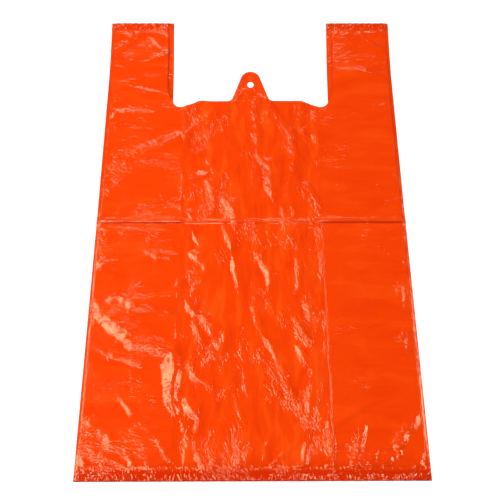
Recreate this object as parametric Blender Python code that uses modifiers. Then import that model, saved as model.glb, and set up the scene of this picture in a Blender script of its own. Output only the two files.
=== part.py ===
# Vest-shaped carrier bag of blown film, lying flat on its back panel.
# It is one piece: a tube of film with a gusset pushed in at each side, welded across at its foot and
# at its handle tops, then die-cut into two handles and a mouth with a hanging tab.
# Metres, +Z up, X across the bag, +Y towards the handles. The origin is the middle of its underside.

import math

import bmesh
import bpy
from mathutils import Vector

MM = 0.001

# Film and the size of the bag laid flat
FILM = 0.04 * MM
WIDTH = 300 * MM
LENGTH = 500 * MM
GUSSET_DEPTH = 81 * MM
FRONT_FOLD_INSET = 3 * MM  # the front panel's side folds lie inside the back panel's

# From the middle of one layer of film to the middle of the next
LAYER_PITCH = 0.6 * MM
MIDDLE_SINK = 1.1 * MM  # the front panel sinks this far between the gussets
SINK_RUN = 7 * MM
WELD_PITCH = 0.12 * MM
WELD_PINCH_RUN = 12 * MM  # the layers close up over this length towards a weld

# Welds, and the free skirts of film outside them
FOOT_SKIRT = 8.5 * MM
HANDLE_SKIRT = 9.5 * MM
WELD_WIDTH = 2.2 * MM
WELD_BEAD = 0.15 * MM
WELD_LIP = 0.2 * MM  # the layers stay flat this far out from the weld's edge
RUFFLE_PITCH = 7 * MM
FOOT_RUFFLE = 1.1 * MM
HANDLE_RUFFLE = 0.6 * MM

# Die-cut mouth, handles and tab
HANDLE_WIDTH = 68.5 * MM
MOUTH_DROP = 107 * MM  # from the handle tops to the mouth's edge
NOTCH_DEPTH = 8.5 * MM  # the relief beside each handle dips below the mouth's edge
NOTCH_RADIUS = 7.5 * MM
NOTCH_FLOOR = 3 * MM
NOTCH_RAMP = 17 * MM
RAMP_FOOT_RADIUS = 7 * MM
RAMP_HEAD_RADIUS = 14 * MM
TAB_HEIGHT = 39 * MM
TAB_BASE_WIDTH = 40 * MM
TAB_TIP_RADIUS = 10 * MM
TAB_ROOT_RADIUS = 6 * MM
HOLE_DIAMETER = 7.2 * MM
HOLE_BELOW_TIP = 17.4 * MM  # from the tab's tip to the hole's middle

FRONT_STRAP_INSET = 5.5 * MM  # the front strap's cut edge lies back from the one under it
INSET_RUN = 18 * MM

HANDLE_SPLAY = 3 * MM  # how far out each handle's top lies

# The crease left where the bag was folded in half for packing
CREASE_HEIGHT = 1.1 * MM
CREASE_HALF_WIDTH = 3.5 * MM
CREASE_BELOW_MIDDLE = 2.5 * MM

# Gathers that the foot weld draws into the front panel
GATHER_PITCH = 25 * MM
GATHER_HEIGHT = 1.4 * MM
GATHER_PEAK = 9 * MM
GATHER_REACH = 38 * MM

# Mesh spacing
COLUMN = 25 * MM
STATION = 28 * MM
HIDDEN_COLUMN = 80 * MM
FOLD_SNAP = 0.4 * MM
RUFFLE_SNAP = 0.05 * MM
ARC_STEPS = 5
HOLE_SIDES = 20

# Folds that cross the front panel: from and to, as shares of its half width and half length from its
# middle, then the half width and the height of the fold at its middle in millimetres
FRONT_FOLDS = [
    (-0.96, 0.33, -0.42, 0.45, 11, 2.0),
    (-0.40, 0.46, -0.45, 0.33, 8, 1.4),
    (-0.39, 0.19, -0.27, 0.04, 9, 1.4),
    (-0.20, -0.03, -0.12, -0.18, 8, 1.5),
    (0.15, 0.54, 0.34, 0.41, 9, 1.6),
    (0.05, 0.30, 0.14, 0.13, 9, 1.4),
    (0.35, 0.23, 0.44, 0.08, 8, 1.4),
    (-0.96, -0.38, -0.62, -0.53, 11, 2.0),
    (-0.42, -0.36, -0.17, -0.48, 11, 1.8),
    (-0.51, -0.58, -0.50, -0.79, 9, 1.8),
    (-0.43, -0.74, -0.36, -0.92, 9, 1.8),
    (0.10, -0.46, 0.16, -0.64, 9, 1.5),
    (0.31, -0.44, 0.28, -0.71, 10, 1.8),
    (0.45, -0.86, 0.75, -0.75, 9, 1.6),
    (0.68, -0.80, 0.60, -0.95, 8, 1.4),
]

# Places worked out from the sizes above
TOP = LENGTH / 2
FOOT = -LENGTH / 2
BACK_FOLD = WIDTH / 2
FRONT_FOLD = BACK_FOLD - FRONT_FOLD_INSET
GUSSET_FOLD = BACK_FOLD - GUSSET_DEPTH
FOOT_WELD = FOOT + FOOT_SKIRT
TOP_WELD = TOP - HANDLE_SKIRT
PINCHED = WELD_WIDTH / 2 + WELD_LIP  # half the width of film that a weld holds flat
MOUTH = TOP - MOUTH_DROP
NOTCH = MOUTH - NOTCH_DEPTH
HANDLE_EDGE = BACK_FOLD - HANDLE_WIDTH
CREASE = -CREASE_BELOW_MIDDLE
BACK, GUSSET_BACK, GUSSET_FRONT, FRONT = 0, 1, 2, 3  # the layers, counted up from the floor
RUFFLES = round(WIDTH / RUFFLE_PITCH)
CUT_MARGIN = 20 * MM


def smooth(value):
    """Eases from 0 to 1 as the value goes from 0 to 1."""
    value = min(1.0, max(0.0, value))
    return value * value * (3 - 2 * value)


def steps(start, end, pitch):
    """Points from start to end, both included, about one pitch apart."""
    count = max(1, round(abs(end - start) / pitch))
    return [start + (end - start) * i / count for i in range(count + 1)]


def pleat_steps(start, end, pitch):
    """Start, each multiple of the pitch on the way, and end."""
    low, high = sorted((start, end))
    first, last = math.ceil(low / pitch + 0.25), math.floor(high / pitch - 0.25)
    points = [low] + [i * pitch for i in range(first, last + 1)] + [high]
    return points if end > start else points[::-1]


def start_scene():
    for old in list(bpy.data.objects):
        bpy.data.objects.remove(old)
    bag = bpy.data.collections.new("carrier_bag_parts")
    tools = bpy.data.collections.new("cutters")
    tools.hide_render = True
    for collection in (bag, tools):
        bpy.context.scene.collection.children.link(collection)
    return bag, tools


def helper(name, shape, collection):
    """Makes a hidden wire object of a bmesh and frees the bmesh."""
    mesh = bpy.data.meshes.new(name)
    shape.to_mesh(mesh)
    shape.free()
    made = bpy.data.objects.new(name, mesh)
    made.hide_render = True
    made.display_type = "WIRE"
    collection.objects.link(made)
    return made


def evaluated_mesh(source):
    bpy.context.view_layer.update()
    graph = bpy.context.evaluated_depsgraph_get()
    return bpy.data.meshes.new_from_object(source.evaluated_get(graph))


# The flat tube: the film's closed section, folded into four layers, drawn along the bag

def film_section():
    """The film's loop as (x, layer): across the front, in and out of a gusset, back, and round."""
    bulge = LAYER_PITCH / 2
    right = [(x, FRONT) for x in pleat_steps(0, GUSSET_FOLD - SINK_RUN, COLUMN)]
    right += [(x, FRONT) for x in pleat_steps(GUSSET_FOLD, FRONT_FOLD, COLUMN)]
    right += [(FRONT_FOLD + bulge, FRONT - 0.5)]
    right += [(x, GUSSET_FRONT) for x in steps(FRONT_FOLD, GUSSET_FOLD, HIDDEN_COLUMN)]
    right += [(GUSSET_FOLD - bulge, GUSSET_FRONT - 0.5)]
    right += [(x, GUSSET_BACK) for x in steps(GUSSET_FOLD, BACK_FOLD, HIDDEN_COLUMN)]
    right += [(BACK_FOLD + bulge, GUSSET_BACK - 0.5)]
    right += [(x, BACK) for x in steps(BACK_FOLD, 0, HIDDEN_COLUMN)]
    left = [(-x, layer) for x, layer in right[-2:0:-1]]
    return right + left


def drawn_tube(points, rows):
    """A surface drawn from the section through each row along Y."""
    shape = bmesh.new()
    ring = [shape.verts.new((x, rows[0], layer * LAYER_PITCH)) for x, layer in points]
    edges = [shape.edges.new(pair) for pair in zip(ring, ring[1:] + ring[:1])]
    for here, there in zip(rows, rows[1:]):
        grown = bmesh.ops.extrude_edge_only(shape, edges=edges)["geom"]
        edges = [part for part in grown if isinstance(part, bmesh.types.BMEdge)]
        ends = [part for part in grown if isinstance(part, bmesh.types.BMVert)]
        bmesh.ops.translate(shape, verts=ends, vec=(0, there - here, 0))
    bmesh.ops.recalc_face_normals(shape, faces=shape.faces)
    return shape


def stations():
    """Rows from the foot to the handle tops, close together at the welds, the crease and the mouth."""
    marks = [FOOT, FOOT_WELD - PINCHED, FOOT_WELD + PINCHED]
    marks += [FOOT_WELD + GATHER_PEAK / 2, FOOT_WELD + GATHER_PEAK]
    marks += [FOOT_WELD + GATHER_PEAK + share * GATHER_REACH for share in (0.4, 1)]
    marks += [CREASE + step * CREASE_HALF_WIDTH for step in (-3, -1, 0, 1, 3)]
    marks += [NOTCH - NOTCH_DEPTH, NOTCH + INSET_RUN]
    marks += [TOP_WELD - WELD_PINCH_RUN, TOP_WELD - WELD_PINCH_RUN / 2]
    marks += [TOP_WELD - PINCHED, TOP_WELD + PINCHED, TOP]
    rows = [marks[0]]
    for here, there in zip(marks, marks[1:]):
        rows += steps(here, there, STATION)[1:]
    return rows


def score(shape, point, along, snap, is_near):
    """Scores a straight line into the flat film, through the faces that are near enough."""
    near = [face for face in shape.faces if is_near(face.calc_center_median())]
    parts = near + list({edge for face in near for edge in face.edges})
    parts += list({vert for face in near for vert in face.verts})
    across = along.cross(Vector((0, 0, 1))).normalized()
    bmesh.ops.bisect_plane(shape, geom=parts, dist=snap, plane_co=point, plane_no=across)


def placed_fold(fold):
    """A fold's middle, its half length as a vector, its half width as a vector, and its height."""
    start = Vector((fold[0] * FRONT_FOLD, fold[1] * TOP_WELD, 0))
    end = Vector((fold[2] * FRONT_FOLD, fold[3] * TOP_WELD, 0))
    along = (end - start) / 2
    across = Vector((-along.y, along.x, 0)).normalized() * fold[4] * MM
    return (start + end) / 2, along, across, fold[5] * MM


def score_folds(shape):
    """Scores each fold's ridge, its middle and its four sloping sides into the front panel."""
    for fold in FRONT_FOLDS:
        middle, along, across, _ = placed_fold(fold)

        def is_near(point):
            out = point.xy - middle.xy
            over = abs(out.dot(along.xy)) / along.length_squared
            beside = abs(out.dot(across.xy)) / across.length_squared
            return over < 1.15 and beside < 1.6 and point.z > (FRONT - 0.1) * LAYER_PITCH

        score(shape, middle, along, FOLD_SNAP, is_near)
        score(shape, middle, across, FOLD_SNAP, is_near)
        for side in (across, -across):
            for tip in (along, -along):
                score(shape, middle + side, tip - side, FOLD_SNAP, is_near)


def score_pleats(shape):
    """Scores the gathers into the foot of the front panel, and the ruffles into every ply of the skirts."""
    upright = Vector((0, 1, 0))
    top_of_gathers = FOOT_WELD + GATHER_PEAK + GATHER_REACH
    for x in pleat_steps(-FRONT_FOLD, FRONT_FOLD, GATHER_PITCH / 2)[1:-1]:
        score(shape, Vector((x, 0, 0)), upright, FOLD_SNAP, lambda point: (
            FOOT_WELD + PINCHED < point.y < top_of_gathers and point.z > (FRONT - 0.1) * LAYER_PITCH
        ))
    half = BACK_FOLD / RUFFLES
    for inner, free in ((FOOT_WELD - PINCHED, FOOT), (TOP_WELD + PINCHED, TOP)):

        def in_skirt(point):
            return min(inner, free) < point.y < max(inner, free)

        for i in range(1, 2 * RUFFLES):
            score(shape, Vector((i * half - BACK_FOLD, 0, 0)), upright, RUFFLE_SNAP, in_skirt)
        for i in range(2 * RUFFLES):
            left, right = i * half - BACK_FOLD, (i + 1) * half - BACK_FOLD
            valley, peak = (left, right) if i % 2 == 0 else (right, left)
            start = Vector((valley, inner, 0))
            score(shape, start, Vector((peak, free, 0)) - start, RUFFLE_SNAP, lambda point: (
                in_skirt(point) and left < point.x < right
            ))


def trim_straps(shape):
    """Trims the two upper plies, which are the front straps, further back than the die cuts."""
    lower_x, upper_x = HANDLE_EDGE - NOTCH_RADIUS / 5, HANDLE_EDGE + FRONT_STRAP_INSET
    lower_y, upper_y = NOTCH + NOTCH_RADIUS / 2, NOTCH + INSET_RUN

    def on_strap(point):
        in_handle = abs(point.x) > HANDLE_EDGE - NOTCH_RADIUS and point.y > NOTCH - NOTCH_DEPTH
        return in_handle and point.z > (GUSSET_FRONT - 0.1) * LAYER_PITCH

    for side in (-1, 1):
        lower, upper = Vector((side * lower_x, lower_y, 0)), Vector((side * upper_x, upper_y, 0))
        for start, along in ((lower, Vector((1, 0, 0))), (lower, upper - lower), (upper, Vector((0, 1, 0)))):
            score(shape, start, along, FOLD_SNAP, lambda point: (
                on_strap(point) and point.x * side > 0
            ))
    trimmed = []
    for face in shape.faces:
        point = face.calc_center_median()
        share = min(1.0, (point.y - lower_y) / (upper_y - lower_y))
        if on_strap(point) and share > 0 and abs(point.x) < lower_x + (upper_x - lower_x) * share:
            trimmed.append(face)
    bmesh.ops.delete(shape, geom=trimmed, context="FACES")


# Settling: how the film lies

def pitch_at(x, y):
    """Distance between neighbouring layers, smaller between the gussets and at the welds."""
    inwards = (GUSSET_FOLD - abs(x)) / SINK_RUN
    pitch = LAYER_PITCH - MIDDLE_SINK / FRONT * smooth(inwards)
    from_weld = min(abs(y - FOOT_WELD), abs(y - TOP_WELD)) - PINCHED
    if y < FOOT_WELD or y > TOP_WELD:
        from_weld = 0
    return WELD_PITCH + (pitch - WELD_PITCH) * smooth(from_weld / WELD_PINCH_RUN)


def fold_height(x, y, fold):
    """Height of a fold: four flat slopes that fall from its middle to its two tips and its sides."""
    middle, along, across, height = fold
    out = Vector((x, y, 0)) - middle
    over = abs(out.dot(along)) / along.length_squared
    beside = abs(out.dot(across)) / across.length_squared
    return height * max(0.0, 1 - over - beside)


def gather_height(x, y):
    """Pleats that rise from the foot weld and die out up the front panel."""
    up = y - FOOT_WELD
    rise = smooth(up / GATHER_PEAK) * (1 - smooth((up - GATHER_PEAK) / GATHER_REACH))
    return GATHER_HEIGHT * rise * math.cos(math.pi * x / GATHER_PITCH) ** 2


def front_lift(x, y, folds):
    """How far the front panel stands off its usual height, nothing at its side folds and foot weld."""
    height = gather_height(x, y) + max(fold_height(x, y, fold) for fold in folds)
    side = smooth((FRONT_FOLD - abs(x)) / (GATHER_PITCH / 2))
    foot = smooth((y - FOOT_WELD - PINCHED) / GATHER_PEAK)
    return height * side * foot


def ruffle(x, y):
    """The skirts' zigzag, from nothing at the weld to its full height at the free edge, flat at its ends."""
    place = min(1.0, max(0.0, x / WIDTH + 0.5)) * RUFFLES
    wave = 2 * abs(place - round(place))
    foot = FOOT_RUFFLE * min(wave, (FOOT_WELD - PINCHED - y) / (FOOT_SKIRT - PINCHED))
    top = HANDLE_RUFFLE * min(wave, (y - TOP_WELD - PINCHED) / (HANDLE_SKIRT - PINCHED))
    if not 1 <= place <= RUFFLES - 1:
        return 0.0
    return max(0.0, foot, top) * (0.75 + 0.25 * math.cos(2 * math.floor(place)))


def settle(shape):
    """Lifts each point of the flat surface to where it lies in the settled bag."""
    folds = [placed_fold(fold) for fold in FRONT_FOLDS]
    for vertex in shape.verts:
        x, y, z = vertex.co
        layer = z / LAYER_PITCH
        height = FILM / 2 + layer * pitch_at(x, y) + ruffle(x, y)
        height += CREASE_HEIGHT * max(0.0, 1 - abs(y - CREASE) / CREASE_HALF_WIDTH)
        if layer > FRONT - 0.1:
            height += front_lift(x, y, folds)
        vertex.co.z = height


def film_of(shape, collection):
    """The film itself, with its thickness shared out to both sides of a surface."""
    tube = helper("film_tube", shape, collection)
    wall = tube.modifiers.new("film", "SOLIDIFY")
    wall.thickness = FILM
    wall.offset = 0
    wall.use_even_offset = True
    return tube


def weld_bar(name, y, collection):
    """The bar of melted film that joins all the layers across the tube."""
    shape = bmesh.new()
    bmesh.ops.create_cube(shape, size=1)
    low, high = FILM / 2, FRONT * WELD_PITCH + FILM + WELD_BEAD
    bmesh.ops.scale(shape, verts=shape.verts, vec=(WIDTH + 2 * LAYER_PITCH, WELD_WIDTH, high - low))
    bmesh.ops.translate(shape, verts=shape.verts, vec=(0, y, (low + high) / 2))
    return helper(name, shape, collection)


# Cutters: the die's outline and the hanging hole

def rounded(corners):
    """The outline through (x, y, radius) corners, with each corner that has a radius made an arc."""
    places = [Vector(corner[:2]) for corner in corners]
    outline = []
    for i, (place, (_, _, radius)) in enumerate(zip(places, corners)):
        if not radius:
            outline.append(place)
            continue
        back = (places[i - 1] - place).normalized()
        on = (places[(i + 1) % len(places)] - place).normalized()
        half = back.angle(on) / 2
        centre = place + (back + on).normalized() * radius / math.sin(half)
        run = radius / math.tan(half)
        start, end = place + back * run - centre, place + on * run - centre
        turns = (start.slerp(end, i / ARC_STEPS) for i in range(ARC_STEPS + 1))
        outline += [centre + radius * turn for turn in turns]
    return outline


def tab_apex():
    """How far above the mouth the tab's straight sides would meet, with its rounded tip at its height."""
    half_base = TAB_BASE_WIDTH / 2
    low, high = TAB_HEIGHT, 10 * TAB_HEIGHT
    for _ in range(40):
        apex = (low + high) / 2
        lean = math.atan2(half_base, apex)
        tip = apex - TAB_TIP_RADIUS / math.sin(lean) + TAB_TIP_RADIUS
        low, high = (low, apex) if tip > TAB_HEIGHT else (apex, high)
    return apex


def die(collection):
    """Cuts away what lies between the handles, down to the mouth, its tab and its two notches."""
    floor_end = HANDLE_EDGE - NOTCH_RADIUS - NOTCH_FLOOR
    right = [
        (TAB_BASE_WIDTH / 2, MOUTH, TAB_ROOT_RADIUS),
        (floor_end - NOTCH_RAMP, MOUTH, RAMP_HEAD_RADIUS),
        (floor_end, NOTCH, RAMP_FOOT_RADIUS),
        (HANDLE_EDGE, NOTCH, NOTCH_RADIUS),
        (HANDLE_EDGE, TOP + CUT_MARGIN, 0),
    ]
    left = [(-x, y, radius) for x, y, radius in reversed(right)]
    outline = rounded(left + [(0, MOUTH + tab_apex(), TAB_TIP_RADIUS)] + right)
    curve = bpy.data.curves.new("mouth_die", "CURVE")
    curve.dimensions = "2D"
    curve.fill_mode = "BOTH"
    curve.extrude = CUT_MARGIN
    spline = curve.splines.new("POLY")
    spline.points.add(len(outline) - 1)
    for point, place in zip(spline.points, outline):
        point.co = (place.x, place.y, 0, 1)
    spline.use_cyclic_u = True
    drawn = bpy.data.objects.new("die_outline", curve)
    collection.objects.link(drawn)
    shape = bmesh.new()
    shape.from_mesh(evaluated_mesh(drawn))
    bpy.data.objects.remove(drawn)
    bmesh.ops.remove_doubles(shape, verts=shape.verts, dist=0.001 * MM)
    bmesh.ops.recalc_face_normals(shape, faces=shape.faces)
    return helper("mouth_die", shape, collection)


def hole_punch(collection):
    shape = bmesh.new()
    bmesh.ops.create_cone(
        shape,
        cap_ends=True,
        segments=HOLE_SIDES,
        radius1=HOLE_DIAMETER / 2,
        radius2=HOLE_DIAMETER / 2,
        depth=2 * CUT_MARGIN,
    )
    hole_y = MOUTH + TAB_HEIGHT - HOLE_BELOW_TIP
    bmesh.ops.translate(shape, verts=shape.verts, vec=(0, hole_y, 0))
    return helper("hole_punch", shape, collection)


def welded_and_cut(tools):
    """The settled film tube with its welds added and its mouth and hanging hole cut."""
    surface = drawn_tube(film_section(), stations())
    score_folds(surface)
    score_pleats(surface)
    trim_straps(surface)
    bmesh.ops.triangulate(surface, faces=surface.faces)
    settle(surface)
    tube = film_of(surface, tools)
    joined = [weld_bar("foot_weld", FOOT_WELD, tools), weld_bar("handle_weld", TOP_WELD, tools)]
    cuts = [die(tools), hole_punch(tools)]
    for operation, others in (("UNION", joined), ("DIFFERENCE", cuts)):
        for other in others:
            step = tube.modifiers.new(other.name, "BOOLEAN")
            step.operation = operation
            step.object = other
    tube.modifiers.new("triangles", "TRIANGULATE")
    return tube


def splay_handles(mesh):
    """Swings the handles a little outwards, more and more towards their tops."""
    for vertex in mesh.vertices:
        up_handle = max(0.0, (vertex.co.y - NOTCH) / (TOP - NOTCH))
        if abs(vertex.co.x) > HANDLE_EDGE - NOTCH_RADIUS - NOTCH_FLOOR:
            vertex.co.x += math.copysign(HANDLE_SPLAY * up_handle**1.5, vertex.co.x)


def film_material():
    colour = (0.96, 0.06, 0.003, 1)
    material = bpy.data.materials.new("orange_film")
    material.use_nodes = True
    material.diffuse_color = colour
    shader = material.node_tree.nodes["Principled BSDF"]
    shader.inputs["Base Color"].default_value = colour
    shader.inputs["Roughness"].default_value = 0.22
    shader.inputs["Metallic"].default_value = 0
    return material


def main():
    bag_parts, tools = start_scene()
    mesh = evaluated_mesh(welded_and_cut(tools))
    splay_handles(mesh)
    mesh.name = "carrier_bag"
    mesh.materials.clear()
    mesh.materials.append(film_material())
    mesh.shade_smooth()
    mesh.set_sharp_from_angle(angle=math.radians(35))
    bag_parts.objects.link(bpy.data.objects.new("carrier_bag", mesh))


main()
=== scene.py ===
import math
import random

import bmesh
import bpy
import numpy as np
from mathutils import Matrix, Vector, geometry, noise
from mathutils.bvhtree import BVHTree


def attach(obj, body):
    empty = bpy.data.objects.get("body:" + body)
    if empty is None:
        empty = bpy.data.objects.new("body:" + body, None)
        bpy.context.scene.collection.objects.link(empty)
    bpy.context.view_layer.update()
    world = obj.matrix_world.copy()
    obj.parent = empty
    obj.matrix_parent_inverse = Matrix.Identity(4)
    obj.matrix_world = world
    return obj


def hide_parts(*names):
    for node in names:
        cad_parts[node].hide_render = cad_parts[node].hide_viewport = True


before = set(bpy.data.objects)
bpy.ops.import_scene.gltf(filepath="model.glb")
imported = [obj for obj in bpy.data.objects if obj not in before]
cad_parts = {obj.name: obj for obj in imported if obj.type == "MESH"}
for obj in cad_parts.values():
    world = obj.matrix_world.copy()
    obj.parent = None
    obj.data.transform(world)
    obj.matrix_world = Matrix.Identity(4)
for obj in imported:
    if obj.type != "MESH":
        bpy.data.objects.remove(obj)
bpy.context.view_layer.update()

# Lengths are in millimetres up to the finished mesh, which is then scaled to metres
mm = 0.001
back, gussetBack, gussetFront, front = 0, 1, 2, 3  # the layers of film, counted up from the floor


def ease(value):
    value = np.clip(value, 0, 1)
    return value * value * (3 - 2 * value)


def evenSteps(start, end, pitch):
    count = max(1, round(abs(end - start) / pitch))
    return [start + (end - start) * i / count for i in range(count + 1)]


# Camera and lamps
view = {
    "place": (-0.0067, -0.3879, 0.6989),
    "fromStraightDown": 26.94,
    "turn": -0.859,
    "roll": 0.673,
    "lens": 58.98,
    "sensor": 36,
    "picture": 500,  # pixels across and down
}

studio = {
    "floor": (0.86, 0.86, 0.86, 1),
    "floorSize": 6,
    "floorGlow": 0.18,
    "whiteFloor": (0.4, 1.3),  # the floor turns white to the camera between these distances
    "worldLight": 0.07,
    "lamps": [
        # name, place, turn in degrees about X and Y, size across and along the bag, watts
        ("keyLeft", (-0.82, 0.22, 1.2), (0, -20), 0.45, 1.4, 15.5),
        ("keyCore", (-0.81, 0.22, 1.19), (0, -20), 0.16, 1.1, 3.2),
        ("nearLeft", (-0.3, -0.6, 1.2), (18, 0), 0.75, 0.3, 6),
        ("fillRight", (1.5, 0.2, 1.4), (0, 45), 0.45, 0.9, 17),
        ("farStrip", (-0.1, 2.08, 1.2), (-40, 0), 1.0, 0.38, 7),
    ],
}


def cameraTurn():
    turn = Matrix.Rotation(math.radians(view["turn"]), 4, "Z")
    tilt = Matrix.Rotation(math.radians(view["fromStraightDown"]), 4, "X")
    roll = Matrix.Rotation(math.radians(view["roll"]), 4, "Z")
    return turn @ tilt @ roll


# The flat tube of film
bag = {
    "width": 300,
    "length": 500,
    "film": 0.04,
    "gussetDepth": 81,
    "frontInset": 3,  # the front's side folds lie inside the back's
    "layerPitch": 0.6,  # from one layer of film to the next
    "middleSink": 1.1,  # how far the front sinks between the gussets
    "sinkRun": 7,
    "weldWidth": 2.2,
    "weldPitch": 0.12,
    "pinchRun": 27,
    "topPinchRun": 60,
    "footSkirt": 8.5,
    "handleSkirt": 9.5,
    "creaseBelowMiddle": 2.5,
    "cell": 2.0,  # size of the front's mesh squares
    "hiddenCell": 4.6,
}
top = bag["length"] / 2
foot = -top
backFold = bag["width"] / 2
frontFold = backFold - bag["frontInset"]
gussetFold = backFold - bag["gussetDepth"]
footWeld = foot + bag["footSkirt"]
topWeld = top - bag["handleSkirt"]
halfWeld = bag["weldWidth"] / 2 + 0.2
creaseY = -bag["creaseBelowMiddle"]


def sectionPlaces():
    # (x, layer) round the flat tube, from the middle of the back to the middle of the back
    cell, hidden, bulge = bag["cell"], bag["hiddenCell"], bag["layerPitch"] / 2
    half = [(x, back) for x in evenSteps(0, backFold, hidden)]
    half += [(backFold + bulge, gussetBack - 0.5)]
    half += [(x, gussetBack) for x in evenSteps(backFold, gussetFold, hidden)]
    half += [(gussetFold - bulge, gussetFront - 0.5)]
    half += [(x, gussetFront) for x in evenSteps(gussetFold, frontFold, hidden)]
    half += [(frontFold + bulge, front - 0.5)]
    half += [(frontFold, front)]
    half += [(x, front) for x in evenSteps(frontFold - 0.6, gussetFold, cell)]
    half += [(x, front) for x in evenSteps(gussetFold, 0, cell)[1:]]
    return half + [(-x, layer) for x, layer in half[-2::-1]]


def rowPlaces():
    # rows of the mesh from foot to top, closer together at the welds and the packing crease
    marks = [
        (foot, 0),
        (footWeld - halfWeld, 1.4),
        (footWeld + halfWeld, 0.9),
        (footWeld + bag["pinchRun"], 1.5),
        (creaseY - 9, bag["cell"]),
        (creaseY - 4, 1.2),
        (creaseY + 4, 0.8),
        (creaseY + 9, 1.2),
        (topWeld - bag["pinchRun"], bag["cell"]),
        (topWeld - halfWeld, 1.5),
        (topWeld + halfWeld, 0.9),
        (top, 1.4),
    ]
    rows = [foot]
    for (start, _), (end, pitch) in zip(marks, marks[1:]):
        rows += evenSteps(start, end, pitch)[1:]
    return rows


def foldedTube():
    # one flat sheet, folded into four layers and joined along the middle of the back
    columns, rows = sectionPlaces(), rowPlaces()
    shape = bmesh.new()
    bmesh.ops.create_grid(shape, x_segments=len(columns) - 1, y_segments=len(rows) - 1, size=0.5)
    for vertex in shape.verts:
        x, layer = columns[round((vertex.co.x + 0.5) * (len(columns) - 1))]
        y = rows[round((vertex.co.y + 0.5) * (len(rows) - 1))]
        vertex.co = (x, y, layer * bag["layerPitch"])
    bmesh.ops.remove_doubles(shape, verts=shape.verts, dist=0.001)
    bmesh.ops.recalc_face_normals(shape, faces=shape.faces)
    return shape


# Die cuts: mouth, handles, tab and hanging hole
cuts = {
    "handleWidth": 68.5,
    "mouthDrop": 107,
    "notchDepth": 8.5,
    "notchRadius": 7.5,
    "notchFloor": 3,
    "notchRamp": 17,
    "rampFootRadius": 7,
    "rampHeadRadius": 14,
    "tabHeight": 39,
    "tabBaseWidth": 40,
    "tabTipRadius": 10,
    "tabRootRadius": 6,
    "tabApex": 61.1,  # where the tab's straight sides would meet
    "holeWidth": 6.8,
    "holeLength": 7.9,
    "holeBelowTip": 17.4,
    "arcSteps": 7,
    "holeSides": 24,
    "strapInset": 5.5,  # the front straps' cut edges lie back from those under them
    "strapRun": 18,
    "handleSplay": 3,
}
mouth = top - cuts["mouthDrop"]
notch = mouth - cuts["notchDepth"]
handleEdge = backFold - cuts["handleWidth"]
holeY = mouth + cuts["tabHeight"] - cuts["holeBelowTip"]


def roundedOutline(corners):
    # the outline through (x, y, radius) corners, with an arc at each corner that has a radius
    places = [Vector(corner[:2]) for corner in corners]
    outline = []
    for i, (place, (_, _, radius)) in enumerate(zip(places, corners)):
        if not radius:
            outline.append(place)
            continue
        before = (places[i - 1] - place).normalized()
        after = (places[(i + 1) % len(places)] - place).normalized()
        half = before.angle(after) / 2
        centre = place + (before + after).normalized() * radius / math.sin(half)
        run = radius / math.tan(half)
        start, end = place + before * run - centre, place + after * run - centre
        steps = cuts["arcSteps"]
        outline += [centre + radius * start.slerp(end, step / steps) for step in range(steps + 1)]
    return outline


def mouthOutline():
    floorEnd = handleEdge - cuts["notchRadius"] - cuts["notchFloor"]
    right = [
        (cuts["tabBaseWidth"] / 2, mouth, cuts["tabRootRadius"]),
        (floorEnd - cuts["notchRamp"], mouth, cuts["rampHeadRadius"]),
        (floorEnd, notch, cuts["rampFootRadius"]),
        (handleEdge, notch, cuts["notchRadius"]),
        (handleEdge, top + 10, 0),
    ]
    left = [(-x, y, radius) for x, y, radius in reversed(right)]
    tip = (0, mouth + cuts["tabApex"], cuts["tabTipRadius"])
    return roundedOutline(left + [tip] + right)


def holeOutline():
    wide, long = cuts["holeWidth"] / 2, cuts["holeLength"] / 2
    turns = [2 * math.pi * side / cuts["holeSides"] for side in range(cuts["holeSides"])]
    return [Vector((wide * math.cos(turn), holeY + long * math.sin(turn))) for turn in turns]


def isInside(point, outline):
    crossings = 0
    for here, there in zip(outline, outline[1:] + outline[:1]):
        if (here.y > point.y) != (there.y > point.y):
            share = (point.y - here.y) / (there.y - here.y)
            crossings += point.x < here.x + share * (there.x - here.x)
    return crossings % 2 == 1


def scoreLine(shape, faces, start, end, reach):
    # scores the line from start to end into those of the faces that it crosses
    along = (end - start).normalized()
    length = (end - start).length
    across = Vector((-along.y, along.x))

    def isNear(face):
        out = face.calc_center_median().xy - start
        return abs(out.dot(across)) < reach and -reach < out.dot(along) < length + reach

    near = [face for face in faces if isNear(face)]
    parts = near + list({edge for face in near for edge in face.edges})
    parts += list({vertex for face in near for vertex in face.verts})
    plane = {"plane_co": (start.x, start.y, 0), "plane_no": (across.x, across.y, 0)}
    made = bmesh.ops.bisect_plane(shape, geom=parts, dist=0.02, **plane)["geom"]
    made = [part for part in made if isinstance(part, bmesh.types.BMFace)]
    return list(dict.fromkeys([face for face in faces if face.is_valid] + made))


def dieCut(shape, outline):
    # cuts every layer along the outline and takes out what is inside
    margin = Vector((1, 1)) * 2 * bag["cell"]
    low = Vector(map(min, zip(*outline))) - margin
    high = Vector(map(max, zip(*outline))) + margin

    def isClose(point):
        return low.x < point.x < high.x and low.y < point.y < high.y

    faces = [face for face in shape.faces if isClose(face.calc_center_median())]
    for start, end in zip(outline, outline[1:] + outline[:1]):
        faces = scoreLine(shape, faces, start, end, bag["cell"])
    waste = [face for face in faces if isInside(face.calc_center_median(), outline)]
    bmesh.ops.delete(shape, geom=waste, context="FACES")


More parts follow.
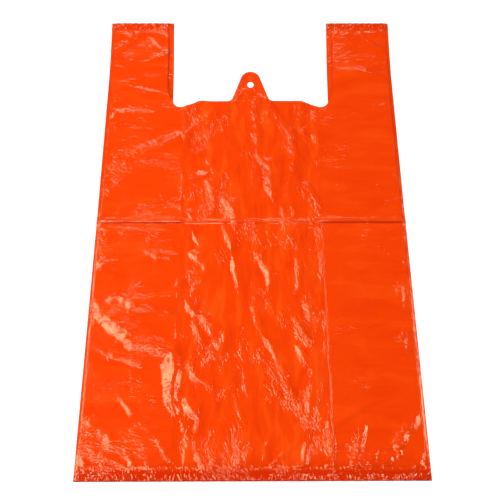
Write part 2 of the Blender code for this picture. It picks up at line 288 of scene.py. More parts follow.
def trimStraps(shape):
    # trims the two upper layers of each handle further back than the layers under them
    lowX, highX = handleEdge - cuts["notchRadius"] / 5, handleEdge + cuts["strapInset"]
    lowY, highY = notch + cuts["notchRadius"] / 2, notch + cuts["strapRun"]
    inside, over = 0.8 * lowX, top + 5
    corners = [(inside, lowY), (lowX, lowY), (highX, highY), (highX, over), (inside, over)]
    upper = (gussetFront - 0.1) * bag["layerPitch"]
    for side in (-1, 1):
        mirrored = [Vector((side * x, y)) for x, y in corners]
        faces = []
        for face in shape.faces:
            centre = face.calc_center_median()
            if centre.z > upper and centre.y > notch - 5 and inside - 4 < side * centre.x < highX + 5:
                faces.append(face)
        for start, end in zip(mirrored[:3], mirrored[1:4]):
            faces = scoreLine(shape, faces, start, end, bag["cell"])
        waste = [face for face in faces if isInside(face.calc_center_median(), mirrored)]
        bmesh.ops.delete(shape, geom=waste, context="FACES")


def thinHiddenLayers(shape):
    # joins up the mesh of the hidden layers where they lie flat
    def isQuiet(place):
        isFlat = footWeld + bag["pinchRun"] + 2 < place.y < topWeld - bag["topPinchRun"] - 2
        return place.z < (front - 0.6) * bag["layerPitch"] and isFlat and abs(place.y - creaseY) > 10

    quiet = [vertex for vertex in shape.verts if isQuiet(vertex.co)]
    chosen = set(quiet)
    edges = [edge for edge in shape.edges if edge.verts[0] in chosen and edge.verts[1] in chosen]
    limits = {"angle_limit": 0.01, "use_dissolve_boundaries": False}
    bmesh.ops.dissolve_limit(shape, verts=quiet, edges=edges, **limits)
    many = [face for face in shape.faces if len(face.verts) > 4]
    bmesh.ops.triangulate(shape, faces=many)


# How the film lies
relief = {
    "seed": 11,
    "swell": 0.6,
    "ridges": 0.6,
    "deepest": -0.3,  # how far the front can sink below its own layer
    "foldStep": 3.6,  # length of the facets along a fold
    "foldHeight": 2.6,  # the most that a fold can rise
    "slopes": (0.04, 0.6, 0.02),  # gentlest and steepest tried for a flank, and the step
    "plainSlope": 0.3,  # for a fold that can't mirror a lamp
    "looseTries": 2500,
    "looseRoom": (6, 14),
    "looseSlopes": (0.055, 0.022),  # in the middle and over the gussets
    "edgePitch": 15,
    "footRuffle": 0.7,
    "topRuffle": 0.5,
    "rufflePitch": 7.0,
    "gather": 1.0,
    "gatherReach": 30,
    "smallFolds": 170,
    "creaseRidge": 1.35,
    "creaseGroove": 0.45,
    "creaseLift": 0.9,  # of all the layers
}

# Folds of the front, as seen in the photo: points along the flank that catches the light, with
# column and row in pixels and width in millimetres, then the width of the flank behind it, and
# how far the first flank turns to the lamp, with 1 where it just mirrors the lamp's edge
frontFolds = [
    ([(115, 40, 2), (124, 32, 3)], 3, 1.3),
    ([(116, 54, 2), (133, 41, 3), (147, 31, 5)], 4, 1.2),
    ([(158, 30, 2), (165, 34, 4), (171, 38, 3)], 4, 1.3),
    ([(151, 35, 3), (155, 43, 6), (161, 49, 4)], 5, 1.1),
    ([(171, 51, 7), (160, 57, 5), (147, 62, 2)], 5, 1.2),
    ([(114, 66, 3), (126, 69, 2)], 4, 1.1),
    ([(114, 84, 3), (134, 81, 2)], 4, 0.9),
    ([(127, 86, 3), (147, 90, 6), (167, 95, 3)], 6, 0.9),
    ([(362, 37, 3), (373, 46, 5), (389, 51, 5)], 4, 1.2),
    ([(376, 33, 3), (388, 42, 4)], 3, 1.2),
    ([(344, 35, 3), (347, 32, 2)], 3, 1.2),
    ([(336, 70, 4), (364, 71, 7), (387, 79, 4)], 6, 0.9),
    ([(235, 99, 2), (238, 95, 4), (241, 91, 2)], 3, 1.3),
    ([(256, 92, 2), (262, 97, 3), (268, 101, 3)], 3, 1.2),
    ([(244, 82, 3), (247, 79, 4), (251, 77, 2)], 3, 1.2),
    ([(252, 77, 2), (256, 80, 4), (259, 84, 2)], 3, 1.2),
    ([(109, 112, 8), (127, 112, 7), (153, 113, 4)], 4, 1.3),
    ([(112, 154, 2), (135, 150, 7), (160, 143, 9), (180, 134, 8), (195, 127, 4)], 10, 0.95),
    ([(195, 127, 4), (190, 138, 5), (187, 149, 2)], 5, 1.0),
    ([(100, 228, 2), (130, 230, 5), (176, 232, 3)], 5, 1.0),
    ([(193, 180, 3), (205, 180, 5), (211, 192, 6), (212, 211, 3)], 6, 1.1),
    ([(183, 212, 2), (189, 216, 5), (192, 222, 3)], 4, 1.2),
    ([(222, 197, 4), (228, 209, 10), (235, 223, 6)], 6, 1.3),
    ([(221, 225, 3), (226, 237, 6), (231, 249, 4)], 5, 1.2),
    ([(231, 254, 4), (233, 268, 7), (236, 281, 5), (239, 294, 2)], 5, 1.2),
    ([(192, 234, 2), (197, 243, 5), (203, 252, 2)], 5, 1.2),
    ([(187, 253, 2), (196, 260, 6), (205, 269, 3)], 5, 1.2),
    ([(183, 276, 4), (193, 273, 6), (202, 279, 3)], 5, 1.1),
    ([(193, 284, 3), (193, 292, 4)], 4, 1.2),
    ([(272, 104, 3), (280, 116, 5), (289, 127, 6), (299, 138, 8)], 7, 0.95),
    ([(297, 142, 7), (299, 156, 8), (299, 172, 6)], 8, 0.8),
    ([(257, 157, 3), (266, 167, 8), (268, 187, 8), (269, 200, 5)], 8, 0.85),
    ([(257, 107, 5), (261, 128, 7), (262, 148, 4)], 8, 0.9),
    ([(309, 184, 4), (316, 193, 7), (321, 208, 3)], 6, 1.2),
    ([(281, 208, 3), (283, 218, 4)], 4, 1.2),
    ([(291, 207, 3), (294, 218, 4)], 4, 1.2),
    ([(143, 250, 3), (162, 253, 6), (184, 257, 3)], 6, 0.95),
    ([(95, 265, 3), (103, 263, 5), (118, 261, 2)], 4, 1.2),
    ([(117, 295, 4), (135, 298, 8), (155, 299, 14), (174, 303, 18)], 8, 0.95),
    ([(94, 305, 5), (97, 314, 8), (105, 322, 9), (118, 333, 13), (131, 341, 11)], 8, 1.2),
    ([(131, 350, 6), (147, 349, 8), (163, 354, 10), (174, 358, 8)], 7, 1.3),
    ([(167, 359, 12), (168, 370, 15), (168, 380, 10)], 5, 1.4),
    ([(167, 383, 9), (168, 397, 8), (169, 410, 7)], 5, 1.4),
    ([(184, 301, 3), (187, 309, 6), (195, 318, 4)], 5, 1.4),
    ([(197, 316, 4), (207, 324, 9), (217, 334, 15), (219, 342, 13), (211, 353, 10), (207, 359, 4)], 7, 1.15),
    ([(193, 325, 3), (200, 338, 4), (203, 346, 2)], 4, 1.0),
    ([(105, 355, 2), (127, 362, 4), (146, 370, 2)], 5, 1.1),
    ([(187, 365, 4), (193, 378, 6), (207, 386, 3)], 6, 1.0),
    ([(218, 400, 2), (224, 392, 3), (232, 385, 2)], 4, 1.2),
    ([(244, 378, 3), (244, 388, 4), (249, 398, 2)], 4, 1.1),
    ([(236, 402, 3), (240, 418, 3)], 4, 1.1),
    ([(253, 311, 5), (255, 326, 3)], 4, 1.2),
    ([(179, 395, 3), (184, 405, 7), (190, 413, 8), (198, 421, 2)], 6, 1.4),
    ([(123, 404, 4), (130, 414, 6)], 6, 1.0),
    ([(98, 430, 4), (104, 438, 8), (110, 447, 5)], 6, 1.1),
    ([(179, 421, 3), (188, 440, 3), (182, 466, 4)], 4, 1.2),
    ([(199, 421, 3), (191, 440, 4), (200, 466, 4)], 4, 1.3),
    ([(155, 439, 3), (161, 450, 4), (168, 463, 3)], 5, 1.2),
    ([(260, 262, 4), (265, 273, 7), (269, 285, 5)], 6, 1.2),
    ([(298, 259, 3), (303, 269, 4)], 5, 1.0),
    ([(297, 276, 5), (297, 290, 4)], 6, 0.95),
    ([(263, 338, 3), (270, 348, 6), (275, 360, 5), (280, 373, 3)], 6, 1.15),
    ([(310, 301, 4), (315, 318, 5)], 6, 1.0),
    ([(301, 323, 3), (307, 333, 7), (312, 343, 5), (316, 352, 2)], 5, 1.3),
    ([(295, 345, 3), (301, 357, 9), (307, 370, 10), (309, 386, 12), (307, 400, 9), (305, 419, 5)], 8, 1.35),
    ([(292, 387, 4), (298, 400, 6), (304, 415, 4)], 4, 1.2),
    ([(391, 255, 3), (398, 258, 5), (405, 262, 3)], 5, 1.2),
    ([(402, 287, 4), (403, 298, 5), (403, 311, 3)], 5, 1.1),
    ([(405, 338, 4), (405, 349, 4)], 4, 1.1),
    ([(335, 428, 4), (356, 415, 5), (378, 402, 3)], 7, 0.95),
    ([(331, 422, 3), (334, 446, 4), (331, 465, 3)], 4, 1.3),
    ([(366, 427, 4), (362, 445, 4), (357, 465, 3)], 5, 1.3),
    ([(408, 433, 3), (404, 446, 6), (401, 460, 4)], 5, 1.2),
    ([(385, 450, 3), (396, 434, 7), (410, 416, 8)], 9, 0.85),
    ([(266, 443, 4), (262, 465, 3)], 4, 1.2),
    ([(305, 443, 4), (302, 461, 4)], 5, 1.2),
    ([(270, 465, 3), (288, 448, 3), (306, 432, 2)], 4, 1.1),
    ([(372, 464, 3), (380, 446, 3)], 4, 1.2),
    ([(381, 464, 3), (393, 451, 4)], 4, 1.2),
    ([(421, 464, 3), (427, 450, 3)], 3, 1.2),
    ([(237, 451, 5), (237, 465, 3)], 4, 1.3),
    ([(96, 457, 3), (110, 462, 4), (123, 467, 3)], 3, 1.1),
    ([(143, 467, 4), (149, 458, 4)], 3, 1.3),
    ([(126, 457, 3), (131, 466, 4)], 3, 1.3),
]
litSide = Vector((-0.86, -0.5))  # small folds face this way with their first flank


def onBag(column, row):
    # the place on the bag that shows at a pixel of the picture
    half = view["picture"] / 2
    reach = view["sensor"] / 2 / view["lens"] / half
    ray = cameraTurn() @ Vector(((column - half) * reach, (half - row) * reach, -1))
    place = Vector(view["place"]) - ray * view["place"][2] / ray.z
    return place.xy / mm


def litSlope(place, across):
    # the gentlest slope at which film that faces this way mirrors a lamp into the camera
    fromCamera = Vector((*place, 0)) * mm - Vector(view["place"])
    for slope in evenSteps(*relief["slopes"]):
        ray = fromCamera.reflect(Vector((*(across * slope), 1)).normalized())
        for _, spot, _, wide, long, _ in studio["lamps"]:
            seen = place * mm + ray.xy * spot[2] / ray.z
            if abs(seen.x - spot[0]) < wide / 2 and abs(seen.y - spot[1]) < long / 2:
                return slope
    return relief["plainSlope"]


def foldPoints(fold, chance):
    # places and heights along the foot and the crest of the lit flank and the foot of the other
    path, shaded, turned = fold
    marks = [(onBag(column, row), width) for column, row, width in path]
    across = Vector((marks[0][0] - marks[-1][0]).yx)
    across.x = -across.x
    across.normalize()
    middle = marks[len(marks) // 2][0]
    facing = 1 if litSlope(middle, across) < litSlope(middle, -across) else -1
    points = []
    for (start, startWidth), (end, endWidth) in zip(marks, marks[1:]):
        along = (start - end).normalized()
        across = Vector((-along.y, along.x)) * facing
        slope = turned * (litSlope((start + end) / 2, across) + 0.02)
        for place in evenSteps(0, (end - start).length, relief["foldStep"])[:-1]:
            share = (place + chance.uniform(0, 1.5)) / (end - start).length
            wide = startWidth + (endWidth - startWidth) * share
            middle = start.lerp(end, share) + across * chance.uniform(-0.3, 0.3)
            high = min(relief["foldHeight"], slope * wide * chance.uniform(0.85, 1.2))
            behind = wide * 0.5 + max(shaded * min(1, 0.2 + wide / 6), high * 4)
            points.append((*(middle + across * wide * 0.5), chance.uniform(-0.1, 0.1)))
            points.append((*(middle - across * wide * 0.5), high))
            points.append((*(middle - across * behind), chance.uniform(-0.2, 0.2)))
            if wide > 6:
                off = chance.choice((-0.2, 0.15)) + chance.uniform(-0.1, 0.1)
                lift = high * (0.5 - off) + chance.uniform(-0.35, 0.35)
                points.append((*(middle + across * wide * off), lift))
    return points


def creasePoints(fold, chance):
    # the same for a fold of one size from end to end
    path, lit, shaded, height = fold
    points = []
    for start, end in zip(path, path[1:]):
        along = (end - start).normalized()
        across = Vector((-along.y, along.x))
        if across.dot(litSide) < 0:
            across = -across
        for share in (0, 0.35, 0.7):
            crest = start.lerp(end, share + chance.uniform(0, 0.2))
            points.append((*crest, height * chance.uniform(0.6, 1.1)))
            litFoot = crest + across * lit * chance.uniform(0.7, 1.15)
            points.append((*litFoot, chance.uniform(-0.15, 0.15)))
            shadedFoot = crest - across * shaded * chance.uniform(0.7, 1.3)
            points.append((*shadedFoot, chance.uniform(-0.15, 0.15)))
    return points


def smallFolds(chance):
    # short creases of handling, most of them in the two-layer middle and leaning down to the right
    folds = []
    for _ in range(relief["smallFolds"]):
        inMiddle = chance.random() < 0.75
        if inMiddle:
            x, degrees = chance.uniform(-66, 66), chance.gauss(-65, 22)
        else:
            x, degrees = chance.choice((-1, 1)) * chance.uniform(75, 138), chance.gauss(-15, 25)
        turn = math.radians(degrees)
        run = Vector((math.cos(turn), math.sin(turn))) * chance.uniform(4, 13)
        bow = Vector((-run.y, run.x)) * chance.uniform(-0.2, 0.2)
        middle = Vector((x, chance.uniform(-228, 132)))
        size = chance.uniform(2.5, 5.5)
        height = size * chance.uniform(0.08, 0.26) * (1 if inMiddle else 0.5)
        folds.append(([middle - run, middle + bow, middle + run], size, size * 1.2, height))
    return folds


def weldGathers(chance):
    # pleats that the foot weld draws into the film above it
    folds, x = [], -frontFold + 4
    while x < frontFold - 4:
        base = Vector((x, footWeld + halfWeld + 0.5))
        lean = chance.gauss(0, 0.25) - 0.3 * x / frontFold
        rise = chance.choice((6, 8, 10, 14, 22)) * chance.uniform(0.8, 1.2)
        run = Vector((lean, 1)) * rise
        size = chance.uniform(2, 4)
        height = size * chance.uniform(0.2, 0.36)
        folds.append(([base, base + run * 0.5, base + run], size, size, height))
        x += chance.uniform(5, 11)
    return folds


def crumpledSheet():
    # the front as flat facets between sharp creases, as handled film lies
    chance = random.Random(relief["seed"])
    points = []

    def isFree(x, y, room):
        return all((x - a) ** 2 + (y - b) ** 2 > room * room for a, b, _ in points)

    for fold in frontFolds:
        points += foldPoints(fold, chance)
    for fold in weldGathers(chance) + smallFolds(chance):
        made = creasePoints(fold, chance)
        if all(isFree(x, y, 2.5) for x, y, _ in made):
            points += made
    for _ in range(relief["looseTries"]):
        x, y = chance.uniform(-frontFold, frontFold), chance.uniform(foot, top)
        room = chance.uniform(*relief["looseRoom"])
        slope = relief["looseSlopes"][abs(x) >= gussetFold - 4]
        if isFree(x, y, room):
            points.append((x, y, chance.gauss(0, slope) * room))
    pitch = relief["edgePitch"]
    points += [(x, y, 0) for x in evenSteps(-backFold, backFold, pitch) for y in (foot - 5, top + 5)]
    points += [(x, y, 0) for x in (-frontFold, frontFold) for y in evenSteps(foot, top, pitch)]
    flat = [Vector((x, y)) for x, y, _ in points]
    places, _, faces, sources, _, _ = geometry.delaunay_2d_cdt(flat, [], [], 0, 0.01)
    corners = [(place.x, place.y, points[source[0]][2]) for place, source in zip(places, sources)]
    return BVHTree.FromPolygons(corners, faces)


def noiseAt(x, y, scaleX, scaleY, shift):
    return np.array([
        noise.noise((float(a) / scaleX + shift, float(b) / scaleY, shift)) for a, b in zip(x, y)
    ])


def rumpleAt(x, y):
    # broad swells and the sharp-crested rumples of handled film, which lie flatter over the gussets
    sides = ease((np.abs(x) - gussetFold + 5) / 10)
    upright = noiseAt(x, y, 30, 70, 0.7) + 0.45 * noiseAt(x + y * 0.4, y, 13, 34, 4.4)
    level = noiseAt(x, y, 70, 30, 1.9) + 0.3 * noiseAt(x, y + x * 0.2, 45, 13, 8.2)
    bendX, bendY = x + 9 * noiseAt(x, y, 30, 30, 2.2), y + 9 * noiseAt(x, y, 30, 30, 6.6)
    crests = (1 - 2.6 * np.abs(noiseAt(bendX + bendY * 0.4, bendY, 12, 36, 7.7))).clip(-0.4, 1)
    folds = (1 - 2.6 * np.abs(noiseAt(bendX, bendY + bendX * 0.2, 48, 13, 12.1))).clip(-0.4, 1)
    where = ease((noiseAt(x, y, 38, 55, 15.3) + 0.25) / 0.5)
    swell = relief["swell"] * (upright * (1 - sides) + 0.7 * level * sides)
    return swell + relief["ridges"] * where * (0.34 * crests * (1 - sides) + 0.16 * folds * sides)


def onTabAt(x, y):
    # 1 on the tab, where the two layers lie close
    return ease((y - mouth - 3) / 14) * (np.abs(x) < handleEdge - 20)


def layerPitchAt(x, y):
    inwards = (gussetFold - np.abs(x)) / bag["sinkRun"]
    pitch = bag["layerPitch"] - bag["middleSink"] / front * ease(inwards)
    pitch = pitch + (bag["weldPitch"] - pitch) * onTabAt(x, y)
    fromFoot = (y - footWeld - halfWeld) / bag["pinchRun"]
    fromTop = (topWeld - halfWeld - y) / bag["topPinchRun"]
    return bag["weldPitch"] + (pitch - bag["weldPitch"]) * ease(np.minimum(fromFoot, fromTop))


def ruffleAt(x, y):
    # the waves that the welds put into the free skirts
    sway = noiseAt(x, y, 16, 60, 3.1)
    place = (x + 2.2 * sway) / relief["rufflePitch"]
    wave = 0.5 - 0.5 * np.cos(2 * np.pi * place)
    size = 0.75 + 0.6 * noiseAt(x, y * 0, 9, 1, 8.3)
    footShare = (footWeld - halfWeld - y) / (bag["footSkirt"] - halfWeld)
    topShare = (y - topWeld - halfWeld) / (bag["handleSkirt"] - halfWeld)
    height = relief["footRuffle"] * ease(footShare * 1.4)
    height = height + relief["topRuffle"] * ease(topShare * 1.4)
    ends = ease((backFold - 3 - np.abs(x)) / 4)
    return height * wave * size * ends


def gatherAt(x, y):
    # pleats that rise from the foot weld and die out up the front, and short ones under the handle tops
    up = y - footWeld - halfWeld
    lean = x - 0.25 * up * np.sign(x) * ease(np.abs(x) / 60)
    wave = np.abs(noiseAt(lean, y, 7, 70, 5.2)) + 0.5 * np.abs(noiseAt(lean, y, 3.4, 40, 9.7))
    reach = relief["gatherReach"] * (0.7 + 0.6 * noiseAt(x, y * 0, 24, 1, 1.4))
    fade = ease(up / 3) * (1 - ease(up / np.maximum(reach, 6))) ** 1.5
    down = topWeld - halfWeld - y
    fadeTop = ease(down / 3) * (1 - ease(down / 16))
    return relief["gather"] * wave * (1.5 * fade * (up > 0) + fadeTop * (down > 0) * (y > mouth))


def creaseAt(x, y):
    # the packing crease: a ridge with a groove under it, highest over the gussets
    size = 0.3 + 0.7 * ease((np.abs(x) - gussetFold + 8) / 8)
    up = y - creaseY
    ridge = np.where(up > 0, np.exp(-up / 4), np.exp(up / 1.1))
    groove = np.exp(-((up + 2.6) / 1.2) ** 2)
    return size * (relief["creaseRidge"] * ridge - relief["creaseGroove"] * groove)


def settle(shape):
    # lifts every layer to its height, and folds and rumples the front
    verts = list(shape.verts)
    x, y, z = np.array([vertex.co for vertex in verts]).T
    layer = z / bag["layerPitch"]
    height = bag["film"] / 2 + layer * layerPitchAt(x, y) + ruffleAt(x, y)
    height = height + relief["creaseLift"] * np.exp(-((y - creaseY) / 2.6) ** 2)
    onFront = layer > front - 0.1
    frontX, frontY = x[onFront], y[onFront]
    sheet, down = crumpledSheet(), Vector((0, 0, -1))
    above = [Vector((float(a), float(b), 50)) for a, b in zip(frontX, frontY)]
    facets = [sheet.ray_cast(place, down)[0] for place in above]
    lift = rumpleAt(frontX, frontY) * ease((frontFold - np.abs(frontX)) / 18)
    lift = lift + np.array([hit.z if hit else 0.0 for hit in facets])
    lift = lift * (1 - 0.5 * onTabAt(frontX, frontY))  # half as high on the tab
    lift = np.maximum(lift, relief["deepest"]) + creaseAt(frontX, frontY)
    sides = ease((frontFold - np.abs(frontX)) / 5)
    welds = ease((frontY - footWeld - halfWeld) / 3) * ease((topWeld - halfWeld - frontY) / 3)
    height[onFront] += (lift * welds + gatherAt(frontX, frontY)) * sides
    for vertex, lifted in zip(verts, height):
        vertex.co.z = lifted


def splayHandles(shape):
    # the handles spread a little towards their tops
    inner = handleEdge - cuts["notchRadius"] - cuts["notchFloor"]
    for vertex in shape.verts:
        up = max(0.0, (vertex.co.y - notch) / (top - notch))
        if abs(vertex.co.x) > inner:
            vertex.co.x += math.copysign(cuts["handleSplay"] * up ** 1.5, vertex.co.x)


# A value in a node tree that Python's operators work on
class Socket:
    def __init__(self, tree, link):
        self.tree, self.link = tree, link

    def node(self, kind, settings, inputs, output=0):
        made = self.tree.nodes.new(kind)
        for name, value in settings.items():
            setattr(made, name, value)
        for name, value in inputs.items():
            if isinstance(value, Socket):
                self.tree.links.new(value.link, made.inputs[name])
            else:
                made.inputs[name].default_value = value
        return Socket(self.tree, made.outputs[output])

    def maths(self, operation, first, second=0.0):
        return self.node("ShaderNodeMath", {"operation": operation}, {0: first, 1: second})

    def __add__(self, other):
        return self.maths("ADD", self, other)

    def __radd__(self, other):
        return self.maths("ADD", other, self)

    def __sub__(self, other):
        return self.maths("SUBTRACT", self, other)

    def __rsub__(self, other):
        return self.maths("SUBTRACT", other, self)

    def __mul__(self, other):
        return self.maths("MULTIPLY", self, other)

    def __rmul__(self, other):
        return self.maths("MULTIPLY", other, self)

    def __abs__(self):
        return self.maths("ABSOLUTE", self)

    def between(self, low, high):
        # 0 up to low, 1 from high on
        inputs = {"Value": self, "From Min": low, "From Max": high}
        return self.node("ShaderNodeMapRange", {"interpolation_type": "SMOOTHSTEP"}, inputs)


film = {
    "colour": (0.81, 0.045, 0.0003, 1),
    # painted shade, for the deep streaks
    "paintedStreakShadeColour": (0.74, 0.034, 0.0002, 1),
    # painted sheen, for the pale streaks
    "paintedSheenColour": (0.85, 0.066, 0.002, 1),
    # painted shade, for the skirts, the welds and the packing crease
    "paintedShadeColour": (0.60, 0.020, 0.0002, 1),
    "roughness": (0.08, 0.16),
    "refraction": 1.5,
    "sheen": (1, 0.84, 0.46, 1),
    "bumpDistance": 0.001,  # the bump heights are in millimetres
    "gussetEdge": (0.066, 0.072),  # the look of the middle changes to that of the gussets here
    "middleWrinkles": (0.38, (1, 2.6, 1), 120),  # turn, stretch and scale
    "gussetWrinkles": (-0.12, (3.2, 1, 1), 115),
    "handleCalm": 0.45,  # how much flatter the wrinkles lie in the handles
    "pleat": 0.0021,  # half the pitch of the fine pleats in the skirts
    "puckerScale": 440,
}


def filmMaterial():
    material = bpy.data.materials.new("orangeFilm")
    material.use_nodes = True
    tree = material.node_tree
    shader = tree.nodes["Principled BSDF"]
    start = Socket(tree, tree.nodes.new("ShaderNodeTexCoord").outputs["Object"])
    across = start.node("ShaderNodeSeparateXYZ", {}, {0: start})
    upwards = Socket(tree, across.link.node.outputs["Y"])
    footLine, topLine, creaseLine = footWeld * mm, topWeld * mm, creaseY * mm

    def blended(share, first, second):
        inputs = {0: share, 6: first, 7: second}
        return start.node("ShaderNodeMix", {"data_type": "RGBA"}, inputs, 2)

    def clouds(place, scale, detail=2, distortion=0.0, output="Fac"):
        inputs = {"Vector": place, "Scale": scale, "Detail": detail, "Distortion": distortion}
        return start.node("ShaderNodeTexNoise", {}, inputs, output)

    def cells(place, scale, feature="DISTANCE_TO_EDGE"):
        inputs = {"Vector": place, "Scale": scale}
        return start.node("ShaderNodeTexVoronoi", {"feature": feature}, inputs, "Distance")

    def stretched(scale):
        return start.node("ShaderNodeMapping", {}, {"Vector": start, "Scale": scale})

    # painted sheen and painted shade: pale and deep streaks in the film's colour, drawn along the bag in the
    # middle and across it over the gussets
    gussets = abs(across).between(*film["gussetEdge"])
    upSheenStreaks = clouds(stretched((1, 0.28, 1)), 95, 4, 0.6)
    crossSheenStreaks = clouds(stretched((0.3, 1, 1)), 80, 4, 0.6)
    sheenStreaks = upSheenStreaks * (1 - gussets) + crossSheenStreaks * gussets
    pale = sheenStreaks.between(0.50, 0.68) * (1 - gussets * 0.5)
    deep = (1 - sheenStreaks.between(0.34, 0.47)) * (0.8 - gussets * 0.4)
    mixed = blended(pale, film["colour"], film["paintedSheenColour"])
    mixed = blended(deep, mixed, film["paintedStreakShadeColour"])

    # painted shade over the welds and the skirts beyond them, where the ruffled film lies in shade
    ends = (1 - upwards.between(footLine - 0.001, footLine + 0.0015)) * 0.55
    ends = ends + (1 - upwards.between(footLine, footLine + 0.016)) * 0.45
    ends = ends + upwards.between(topLine - 0.0015, topLine + 0.001) * 0.45
    mixed = blended(ends, mixed, film["paintedShadeColour"])

    inputs = {0: 0.02, 4: start, 5: clouds(start, 30, output="Color")}
    bent = start.node("ShaderNodeMix", {"data_type": "VECTOR"}, inputs, 1)

    def wrinkles(turn, stretch, scale):
        # creases in millimetres of height, longer one way than the other
        inputs = {"Vector": bent, "Rotation": (0, 0, turn), "Scale": stretch}
        turned = start.node("ShaderNodeMapping", {"vector_type": "TEXTURE"}, inputs)
        creases = cells(turned, scale) * 0.6 + cells(turned, scale * 2.6) * 0.4
        return creases + cells(turned, scale * 5) * 0.22 + clouds(turned, scale * 1.8, 4) * 0.4

    patches = clouds(start, 24).between(0.44, 0.62)
    calm = 1 - upwards.between(0.13, 0.17) * film["handleCalm"]
    height = wrinkles(*film["middleWrinkles"]) * (1 - gussets) * (patches * 1.1 + 0.4)
    level = wrinkles(*film["gussetWrinkles"]) * gussets * (patches * 0.8 + 0.42)
    height = height + level * calm

    # the packing crease, the gussets' inner folds and the line at the tab's root
    sway = clouds(start, 45, 3) - 0.5
    crease = 1 - abs(upwards - creaseLine + 0.0015 + sway * 0.0008).between(0, 0.0012)
    inner = 1 - abs(abs(across) - gussetFold * mm + sway * 0.004).between(0.0001, 0.001)
    below = 1 - upwards.between(creaseLine - 0.002, creaseLine)
    tabRoot = 1 - abs(upwards - mouth * mm).between(0, 0.0005)
    tabRoot = tabRoot * (1 - abs(across).between(0.019, 0.021))
    # painted shade along the packing crease, strongest over the gussets
    mixed = blended(crease * (gussets * 0.7 + 0.3), mixed, film["paintedShadeColour"])
    height = height + crease * (0.1 + gussets * 0.15) - tabRoot * 0.12
    height = height + inner * (0.08 + across.between(0, 0.05) * below * 0.24)

    # puckers along the welds and fine pleats in the skirts
    lively = clouds(start, 150).between(0.35, 0.65)
    welds = 1 - abs(upwards - footLine - 0.001).between(0.0012, 0.0045)
    welds = welds + 1 - abs(upwards - topLine).between(0.0012, 0.0030)
    puckers = cells(stretched((1, 0.5, 1)), film["puckerScale"], "F1") - 0.4
    height = height + puckers * welds * (lively * 0.42 + 0.15)
    skirts = 1 - upwards.between(footLine - 0.003, footLine - 0.0015)
    skirts = skirts + upwards.between(topLine + 0.0015, topLine + 0.003)
    pleats = start.maths("PINGPONG", across + sway * 0.018, film["pleat"])
    height = height + pleats * 1000 * skirts * (lively * 0.38 + 0.03)

    inputs = {"Strength": 1.0, "Distance": film["bumpDistance"], "Height": height}
    bump = start.node("ShaderNodeBump", {}, inputs)
    smooth, rough = film["roughness"]
    dull = clouds(start, 38).between(0.35, 0.65) * (rough - smooth) + smooth
    dull = dull * (1 - ends * 0.45)
    tree.links.new(mixed.link, shader.inputs["Base Color"])
    tree.links.new(bump.link, shader.inputs["Normal"])
    tree.links.new(dull.link, shader.inputs["Roughness"])
    shader.inputs["IOR"].default_value = film["refraction"]
    shader.inputs["Specular Tint"].default_value = film["sheen"]
    return material


def carrierBag():
    shape = foldedTube()
    print("tube folded:", len(shape.faces), "faces")
    dieCut(shape, mouthOutline())
    dieCut(shape, holeOutline())
    trimStraps(shape)
    thinHiddenLayers(shape)
    triangles = sum(len(face.verts) - 2 for face in shape.faces)
    print("die cut:", len(shape.faces), "faces,", triangles, "triangles")
    settle(shape)
    splayHandles(shape)
    print("film settled")
    bmesh.ops.scale(shape, verts=shape.verts, vec=(mm, mm, mm))
    mesh = bpy.data.meshes.new("carrierBag")
    shape.to_mesh(mesh)
    shape.free()
    mesh.shade_smooth()
    mesh.materials.append(filmMaterial())
    piece = bpy.data.objects.new("carrierBag", mesh)
    bpy.context.scene.collection.objects.link(piece)
    wall = piece.modifiers.new("film", "SOLIDIFY")
    wall.thickness = bag["film"] * mm
    wall.offset = 0
    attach(piece, "root")
    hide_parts("carrier_bag")


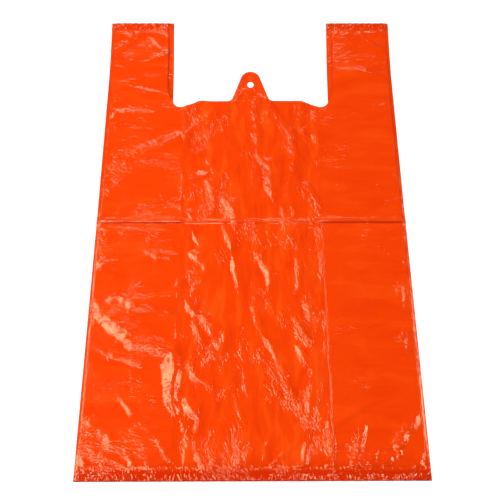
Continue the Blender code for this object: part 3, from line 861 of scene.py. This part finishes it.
# Floor and light
def floorMaterial():
    material = bpy.data.materials.new("paleFloor")
    material.use_nodes = True
    tree = material.node_tree
    shader = tree.nodes["Principled BSDF"]
    shader.inputs["Base Color"].default_value = studio["floor"]
    shader.inputs["Roughness"].default_value = 0.9
    shader.inputs["Specular IOR Level"].default_value = 0.0
    toCamera = Socket(tree, tree.nodes.new("ShaderNodeLightPath").outputs["Is Camera Ray"])
    place = Socket(tree, tree.nodes.new("ShaderNodeTexCoord").outputs["Object"])
    away = place.node("ShaderNodeVectorMath", {"operation": "LENGTH"}, {0: place}, "Value")
    away = away.between(*studio["whiteFloor"])
    glow = toCamera * (away * (1 - studio["floorGlow"]) + studio["floorGlow"])
    tree.links.new(glow.link, shader.inputs["Emission Color"])
    shader.inputs["Emission Strength"].default_value = 1
    return material


def studioFloor():
    shape = bmesh.new()
    bmesh.ops.create_grid(shape, x_segments=4, y_segments=4, size=studio["floorSize"])
    mesh = bpy.data.meshes.new("studioFloor")
    shape.to_mesh(mesh)
    shape.free()
    mesh.materials.append(floorMaterial())
    floor = bpy.data.objects.new("studioFloor", mesh)
    bpy.context.scene.collection.objects.link(floor)


def studioLights():
    for name, place, turns, across, along, watts in studio["lamps"]:
        lamp = bpy.data.lights.new(name, "AREA")
        lamp.shape = "RECTANGLE"
        lamp.size, lamp.size_y = across, along
        lamp.energy = watts
        holder = bpy.data.objects.new(name, lamp)
        holder.location = place
        holder.rotation_euler = (math.radians(turns[0]), math.radians(turns[1]), 0)
        bpy.context.scene.collection.objects.link(holder)
    world = bpy.data.worlds.new("studio")
    bpy.context.scene.world = world
    world.use_nodes = True
    tree = world.node_tree
    background = tree.nodes["Background"]
    toCamera = Socket(tree, tree.nodes.new("ShaderNodeLightPath").outputs["Is Camera Ray"])
    strength = toCamera * (1 - studio["worldLight"]) + studio["worldLight"]
    background.inputs["Color"].default_value = (1, 1, 1, 1)
    tree.links.new(strength.link, background.inputs["Strength"])


def photoCamera():
    camera = bpy.data.cameras.new("photoView")
    camera.lens = view["lens"]
    camera.sensor_width = view["sensor"]
    holder = bpy.data.objects.new("photoView", camera)
    holder.matrix_world = Matrix.Translation(view["place"]) @ cameraTurn()
    bpy.context.scene.collection.objects.link(holder)
    bpy.context.scene.camera = holder


photoCamera()
studioFloor()
studioLights()
print("studio set up")
carrierBag()
bpy.context.scene.view_settings.view_transform = "Standard"
